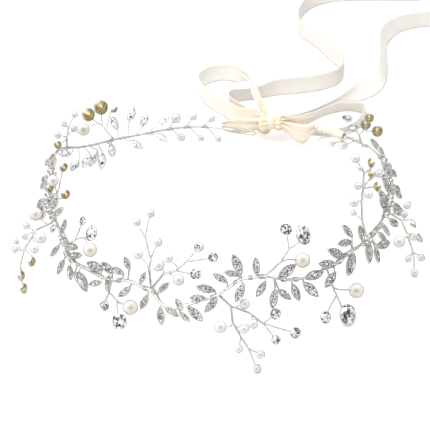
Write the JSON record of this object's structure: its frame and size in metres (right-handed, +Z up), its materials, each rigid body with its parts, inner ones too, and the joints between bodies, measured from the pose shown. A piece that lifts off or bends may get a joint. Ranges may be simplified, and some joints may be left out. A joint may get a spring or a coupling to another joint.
{
  "type": "bridal hair vine",
  "caption": "Bendable wire hair vine ring with stone-set leaves, pearl and crystal sprays, and a satin ribbon bow with two long tails at the back.",
  "frame": {"origin": "middle of the head opening, on the surface that the piece lies on", "axes": "+Z up through the opening, towards the crown; +Y to the back, where the ribbon is tied; +X to the wearer's left"},
  "size_m": [0.2701, 0.4185, 0.0669],
  "materials": {
    "silver_wire": "silver-plated wire",
    "silver_leaf": "bright silver plate",
    "pearl": "pearl lustre",
    "crystal": "clear, foiled back",
    "satin": "ivory satin"
  },
  "bodies": {
    "root": {"vine_wire": "silver_wire", "leaf_sprig_left_side": "silver_leaf", "leaf_sprig_left_front": "silver_leaf", "leaf_sprig_front_1": "silver_leaf", "leaf_sprig_front_2": "silver_leaf", "leaf_sprig_front_3": "silver_leaf", "leaf_sprig_front_4": "silver_leaf", "leaf_sprig_front_5": "silver_leaf", "leaf_sprig_front_6": "silver_leaf", "leaf_sprig_right_front": "silver_leaf", "leaf_sprig_right_side": "silver_leaf", "front_left_up_stems": "silver_wire", "front_left_low_stems": "silver_wire", "left_inner_stems": "silver_wire", "front_low_stems": "silver_wire", "front_right_up_stems": "silver_wire", "front_right_low_stems": "silver_wire", "left_outer_stems": "silver_wire", "right_outer_stems": "silver_wire", "right_inner_stems": "silver_wire", "left_upper_stems": "silver_wire", "left_corner_stems": "silver_wire", "back_left_stems": "silver_wire", "back_right_stems": "silver_wire", "front_left_up_pearls": "pearl", "front_left_low_pearls": "pearl", "left_inner_pearls": "pearl", "front_low_pearls": "pearl", "front_right_up_pearls": "pearl", "front_right_low_pearls": "pearl", "left_outer_pearls": "pearl", "right_outer_pearls": "pearl", "right_inner_pearls": "pearl", "left_upper_pearls": "pearl", "back_left_pearls": "pearl", "back_right_pearls": "pearl", "front_left_up_glass": "crystal", "front_left_low_glass": "crystal", "left_inner_glass": "crystal", "front_low_glass": "crystal", "front_right_up_glass": "crystal", "front_right_low_glass": "crystal", "left_outer_glass": "crystal", "right_outer_glass": "crystal", "right_inner_glass": "crystal", "left_upper_glass": "crystal", "left_corner_glass": "crystal", "back_left_glass": "crystal", "back_right_glass": "crystal", "marquise_settings": "silver_wire", "marquise_stones": "crystal", "twig_beads": "crystal", "ribbon_left_loop": "satin", "ribbon_right_loop": "satin", "ribbon_tail_1": "satin", "ribbon_tail_2": "satin", "ribbon_left_end": "satin", "ribbon_right_end": "satin", "ribbon_knot": "satin", "ribbon_wrap": "satin"}
  },
  "joints": []
}
